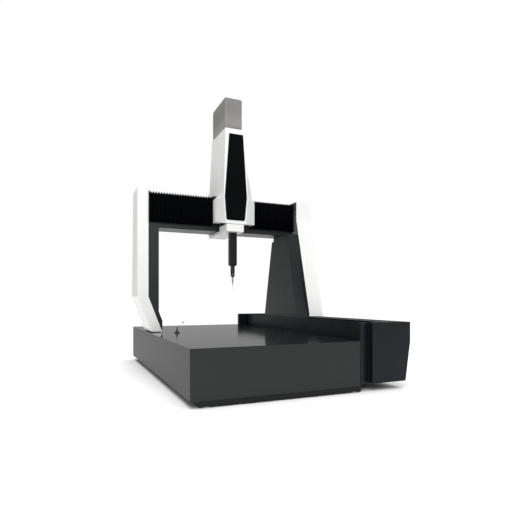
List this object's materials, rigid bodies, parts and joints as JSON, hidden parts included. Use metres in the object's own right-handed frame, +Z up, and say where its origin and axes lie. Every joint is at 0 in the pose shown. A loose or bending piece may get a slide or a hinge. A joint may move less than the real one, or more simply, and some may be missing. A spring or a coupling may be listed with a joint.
{
  "type": "coordinate measuring machine",
  "caption": "Gantry-type coordinate measuring machine: granite table, air-bearing bridge, bellows-covered beam, tall vertical ram and a tilting touch probe.",
  "frame": {"origin": "centre of the machine's outline on the floor, under its levelling feet", "axes": "+Z up, +X to the right along the cross beam, +Y to the rear along the table"},
  "size_m": [2.744, 3.725, 3.87],
  "materials": {
    "granite": "polished black granite with fine grain",
    "painted_frame": "dark grey textured paint",
    "column_casting": "dark grey satin paint",
    "white_cover": "white satin paint",
    "dark_cover": "near-black satin paint",
    "column_sheet": "grey satin paint",
    "black_panel": "gloss black",
    "bellows_cloth": "black coated cloth",
    "anodised": "anodised aluminium",
    "ram_coat": "dark anodised aluminium",
    "steel": "ground steel",
    "rubber": "matt black rubber",
    "motor_shell": "black satin paint",
    "head_shell": "matt black",
    "ceramic_ball": "polished ceramic",
    "stylus_steel": "ground steel with a ruby ball",
    "brush": "black bristle strip"
  },
  "bodies": {
    "base": {"base_frame": "painted_frame", "levelling_feet": "steel", "granite_table": "granite", "table_inserts": "steel", "y_guide_beam": "granite", "y_scale": "steel", "y_drive_bar": "steel", "y_end_stops": "rubber", "guide_cover": "dark_cover", "guide_cover_nose": "dark_cover", "guide_cover_rear_cap": "dark_cover", "guide_inner_wall": "dark_cover", "guide_band": "steel", "slot_brushes": "brush", "sphere_stand": "motor_shell", "reference_sphere": "ceramic_ball"},
    "bridge": {"bridge_shoe": "anodised", "bridge_air_bearings": "anodised", "y_motor": "motor_shell", "y_read_head": "motor_shell", "right_column": "column_casting", "right_column_cover": "white_cover", "left_column": "column_casting", "left_column_cover": "white_cover", "cross_beam": "anodised", "x_scale": "steel", "x_drive_bar": "steel", "bellows_end_frames": "dark_cover", "bellows_left": "bellows_cloth", "bellows_right": "bellows_cloth"},
    "y_roller": {"y_drive_roller": "steel"},
    "carriage": {"carriage_frame": "anodised", "x_air_bearings": "anodised", "x_motor": "motor_shell", "carriage_read_heads": "motor_shell", "carriage_housing": "white_cover", "front_panel": "black_panel", "underbeam_cover": "white_cover", "carriage_rear_cover": "white_cover", "carriage_bellows_frames": "dark_cover", "z_mast": "anodised", "ram_guides": "anodised", "ram_air_bearings": "anodised", "z_column_cover": "column_sheet", "z_motor": "motor_shell", "z_belt": "rubber", "balance_cylinder": "anodised", "balance_cable": "steel"},
    "x_roller": {"x_drive_roller": "steel"},
    "z_drive_wheel": {"z_drive_pulley": "steel"},
    "z_idler_wheel": {"z_idler_pulley": "steel"},
    "balance_wheel": {"balance_pulley": "steel"},
    "ram": {"ram": "ram_coat", "z_scale": "steel", "ram_yoke": "anodised", "head_body": "head_shell"},
    "head": {"head_knuckle": "head_shell"},
    "probe": {"probe_holder": "head_shell", "probe_body": "head_shell"},
    "stylus": {"stylus": "stylus_steel"}
  },
  "joints": [
    {"name": "bridge_travel", "type": "slide", "parent": "base", "child": "bridge", "axis": [0, 1, 0], "range_m": [-1.5, 0.6]},
    {"name": "y_roller_spin", "type": "hinge", "parent": "bridge", "child": "y_roller", "pos_m": [1.07405, 1.0425, 0.37], "axis": [0, 0, 1], "continuous": true},
    {"name": "carriage_travel", "type": "slide", "parent": "bridge", "child": "carriage", "axis": [1, 0, 0], "range_m": [-0.84, 0.66], "deforming": ["bellows_left", "bellows_right"]},
    {"name": "x_roller_spin", "type": "hinge", "parent": "carriage", "child": "x_roller", "pos_m": [0.094, 0.75555, 2.455], "axis": [0, 0, 1], "continuous": true},
    {"name": "ram_travel", "type": "slide", "parent": "carriage", "child": "ram", "axis": [0, 0, 1], "range_m": [-0.59, 0.42], "deforming": ["balance_cable"]},
    {"name": "z_drive_spin", "type": "hinge", "parent": "carriage", "child": "z_drive_wheel", "pos_m": [0.022, 0.3275, 3.8], "axis": [1, 0, 0], "continuous": true},
    {"name": "z_idler_spin", "type": "hinge", "parent": "carriage", "child": "z_idler_wheel", "pos_m": [0.022, 0.3275, 2.71], "axis": [1, 0, 0], "continuous": true},
    {"name": "balance_spin", "type": "hinge", "parent": "carriage", "child": "balance_wheel", "pos_m": [-0.137, 0.2825, 3.81], "axis": [1, 0, 0], "continuous": true},
    {"name": "head_turn", "type": "hinge", "parent": "ram", "child": "head", "pos_m": [-0.05, 0.1705, 1.442], "axis": [0, 0, 1], "range_deg": [-180, 180]},
    {"name": "probe_tilt", "type": "hinge", "parent": "head", "child": "probe", "pos_m": [-0.05, 0.1705, 1.366], "axis": [1, 0, 0], "range_deg": [0, 105]},
    {"name": "stylus_swing", "type": "hinge", "parent": "probe", "child": "stylus", "pos_m": [-0.05, 0.1705, 1.2457], "axis": [1, 0, 0], "range_deg": [-4, 4], "stiffness_Nm_per_rad": 0.5}
  ],
  "couplings": [
    {"joint": "y_roller_spin", "follows": "bridge_travel", "rad_per_m": 40},
    {"joint": "x_roller_spin", "follows": "carriage_travel", "rad_per_m": -62.5},
    {"joint": "z_drive_spin", "follows": "ram_travel", "rad_per_m": -47.6},
    {"joint": "z_idler_spin", "follows": "ram_travel", "rad_per_m": -47.6},
    {"joint": "balance_spin", "follows": "ram_travel", "rad_per_m": -22.222}
  ]
}
